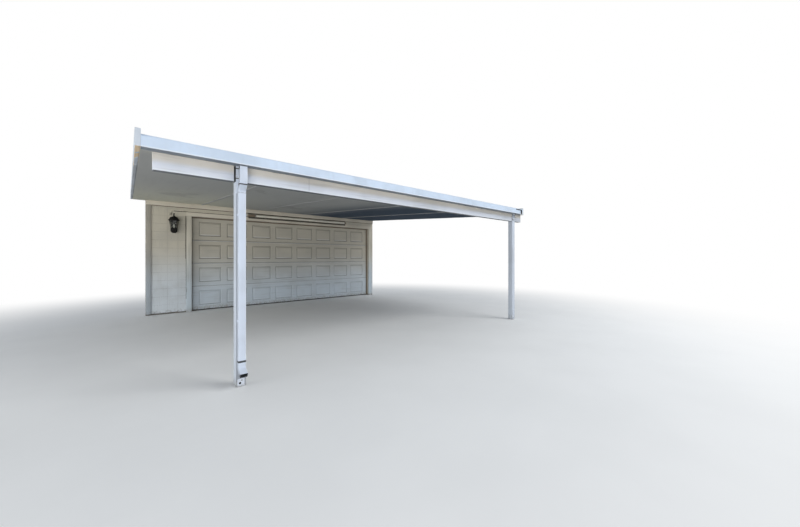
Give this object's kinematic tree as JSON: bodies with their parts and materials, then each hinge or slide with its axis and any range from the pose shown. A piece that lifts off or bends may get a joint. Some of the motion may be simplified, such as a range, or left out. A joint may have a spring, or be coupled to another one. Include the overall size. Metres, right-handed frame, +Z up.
{
  "type": "carport",
  "caption": "Flat-roofed lean-to carport on slim posts, with a front gutter and downspout, set against a garage wall with a panelled sectional door.",
  "frame": {"origin": "centre of the footprint at ground level", "axes": "+Z up, front with the gutter faces -Y, +X to the right seen from the front"},
  "size_m": [6.096, 5.529, 2.5923],
  "materials": {
    "white_timber": "weathered white paint",
    "ceiling_paint": "flat grey-beige paint",
    "framing_timber": "raw softwood",
    "roofing_sheet": "weathered light roll roofing",
    "white_metal": "white factory enamel, dusty",
    "galvanised_steel": "dull zinc",
    "wall_frame": "painted board",
    "siding_paint": "chalky beige-grey paint",
    "trim_paint": "worn off-white paint",
    "door_enamel": "aged enamel",
    "seal_rubber": "matt black",
    "lantern_black": "satin black",
    "lantern_glass": "dusty clear",
    "light_enamel": "yellowed white",
    "light_holder": "dark brown",
    "light_tube": "unlit milky tube"
  },
  "bodies": {
    "root": {"post_left": "white_timber", "post_right": "white_timber", "beam_left": "white_timber", "beam_main": "white_timber", "beam_right": "white_timber", "rake_left": "white_timber", "rake_right": "white_timber", "fascia_front": "white_timber", "fascia_back": "white_timber", "ceiling_sheets": "ceiling_paint", "ceiling_battens": "ceiling_paint", "rafters": "framing_timber", "roof_deck": "framing_timber", "roofing": "roofing_sheet", "gutter": "white_metal", "gutter_hangers": "white_metal", "drip_edge": "white_metal", "downspout_outlet": "white_metal", "downspout_offset": "white_metal", "downspout_pipe": "white_metal", "downspout_shoe": "white_metal", "post_base_left": "galvanised_steel", "post_base_right": "galvanised_steel", "door_tracks": "galvanised_steel", "wall_pier_left": "wall_frame", "wall_pier_right": "wall_frame", "wall_header": "wall_frame", "siding_left": "siding_paint", "siding_right": "siding_paint", "siding_header": "siding_paint", "corner_board_left": "trim_paint", "casing_left": "trim_paint", "casing_right": "trim_paint", "casing_head": "trim_paint", "frieze_board": "trim_paint", "door_stops": "trim_paint", "conduit": "trim_paint", "door_section_1": "door_enamel", "door_section_2": "door_enamel", "door_section_3": "door_enamel", "door_section_4": "door_enamel", "door_seal": "seal_rubber", "lantern_frame": "lantern_black", "lantern_glass": "lantern_glass", "strip_light_housing": "light_enamel", "strip_light_holders": "light_holder", "strip_light_tube": "light_tube"}
  },
  "joints": []
}
